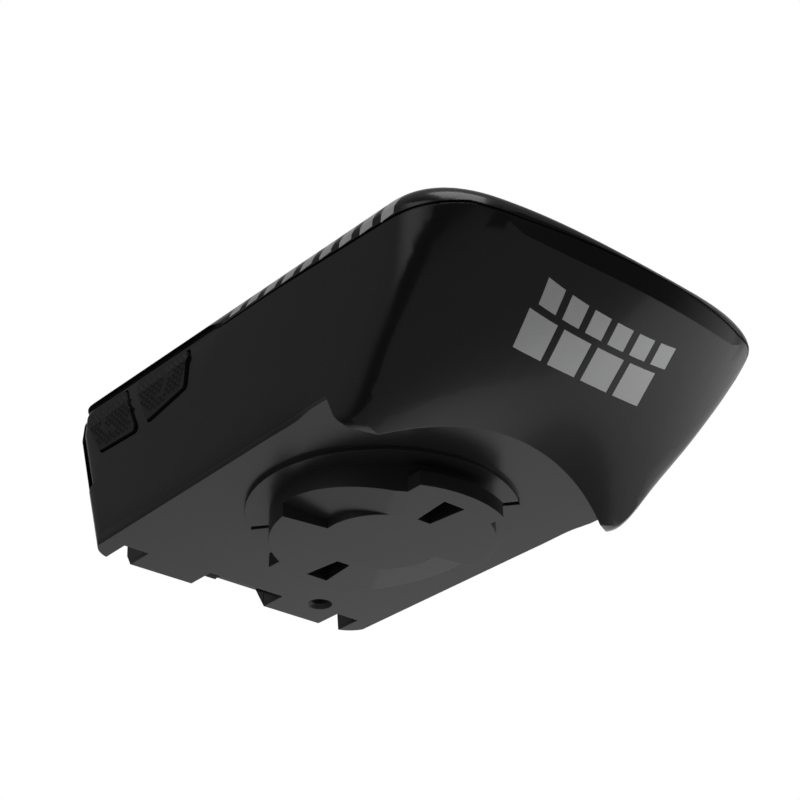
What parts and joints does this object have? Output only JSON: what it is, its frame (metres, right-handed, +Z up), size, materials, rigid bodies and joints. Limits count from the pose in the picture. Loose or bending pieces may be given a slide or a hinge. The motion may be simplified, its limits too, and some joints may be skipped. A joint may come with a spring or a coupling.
{
  "type": "cycling computer",
  "caption": "Compact handlebar cycling computer with a display window, push buttons, a hinged port door and a quarter-turn boss under its case.",
  "frame": {"origin": "on the axis of the quarter-turn boss, on its end face, which is the lowest plane", "axes": "+X to the right seen from above, +Y towards the nose, +Z up through the display"},
  "size_m": [0.0474, 0.0746, 0.0223],
  "materials": {
    "case_gloss": "glossy black moulding",
    "base_satin": "satin dark grey, fine mould texture",
    "silver_print": "satin silver paint",
    "button_rubber": "soft black, fine diamond knurl",
    "seal_rubber": "matt black",
    "clear_lens": "hard coated",
    "display": "grey green panel",
    "light_film": "white film stack",
    "tray": "fine texture",
    "clear_guide": "clear moulding",
    "board": "solder mask",
    "tinned_steel": "tinned",
    "chip_black": "moulded package",
    "flex_film": "amber film",
    "ceramic_tile": "fired, silver top",
    "cell_wrap": "foil pouch",
    "foam": "closed cell foam",
    "wire": "insulated",
    "plug_white": "natural nylon",
    "membrane": "breathable film",
    "screw_steel": "zinc plated",
    "brass_insert": "turned",
    "door_plastic": "soft black",
    "socket_steel": "stainless shell"
  },
  "bodies": {
    "case": {"antenna_bracket": "tray", "backlight": "light_film", "base_plate": "base_satin", "battery": "cell_wrap", "battery_lead": "wire", "battery_pad": "foam", "battery_plug": "plug_white", "board_chips": "chip_black", "buzzer": "chip_black", "case_screws": "screw_steel", "cover_lens": "clear_lens", "display_flex": "flex_film", "display_frame": "tray", "display_panel": "display", "door_pin": "screw_steel", "front_button_seal": "seal_rubber", "front_switches": "tinned_steel", "gps_antenna": "ceramic_tile", "housing_seal": "seal_rubber", "lens_gasket": "seal_rubber", "light_guides": "clear_guide", "light_strip": "board", "lock_insert": "brass_insert", "lower_shell": "case_gloss", "main_board": "board", "nose_mark": "silver_print", "power_button_seal": "seal_rubber", "rim_mark": "silver_print", "shield_cans": "tinned_steel", "side_switches": "chip_black", "upper_housing": "case_gloss", "usb_socket": "socket_steel", "vent_membrane": "membrane", "wireless_antenna": "flex_film", "zoom_button_seal": "seal_rubber"},
    "left_button": {"left_button": "button_rubber"},
    "centre_button": {"centre_button": "button_rubber"},
    "right_button": {"right_button": "button_rubber"},
    "zoom_in_button": {"zoom_in_button": "button_rubber"},
    "zoom_out_button": {"zoom_out_button": "button_rubber"},
    "power_button": {"power_button": "button_rubber"},
    "usb_door": {"usb_door": "door_plastic"}
  },
  "joints": [
    {"name": "left_button_press", "type": "slide", "parent": "case", "child": "left_button", "axis": [0, -0.0558, -0.9984], "range_m": [0, 0.00035], "stiffness_N_per_m": 2000},
    {"name": "centre_button_press", "type": "slide", "parent": "case", "child": "centre_button", "axis": [0, -0.0558, -0.9984], "range_m": [0, 0.00035], "stiffness_N_per_m": 2000},
    {"name": "right_button_press", "type": "slide", "parent": "case", "child": "right_button", "axis": [0, -0.0558, -0.9984], "range_m": [0, 0.00035], "stiffness_N_per_m": 2000},
    {"name": "zoom_in_button_press", "type": "slide", "parent": "case", "child": "zoom_in_button", "axis": [-1, 0, 0], "range_m": [0, 0.00035], "stiffness_N_per_m": 2000},
    {"name": "zoom_out_button_press", "type": "slide", "parent": "case", "child": "zoom_out_button", "axis": [-1, 0, 0], "range_m": [0, 0.00035], "stiffness_N_per_m": 2000},
    {"name": "power_button_press", "type": "slide", "parent": "case", "child": "power_button", "axis": [1, 0, 0], "range_m": [0, 0.00035], "stiffness_N_per_m": 2000},
    {"name": "usb_door_hinge", "type": "hinge", "parent": "case", "child": "usb_door", "pos_m": [0, -0.03154, 0.00927], "axis": [-1, 0, 0], "range_deg": [0, 95]}
  ]
}
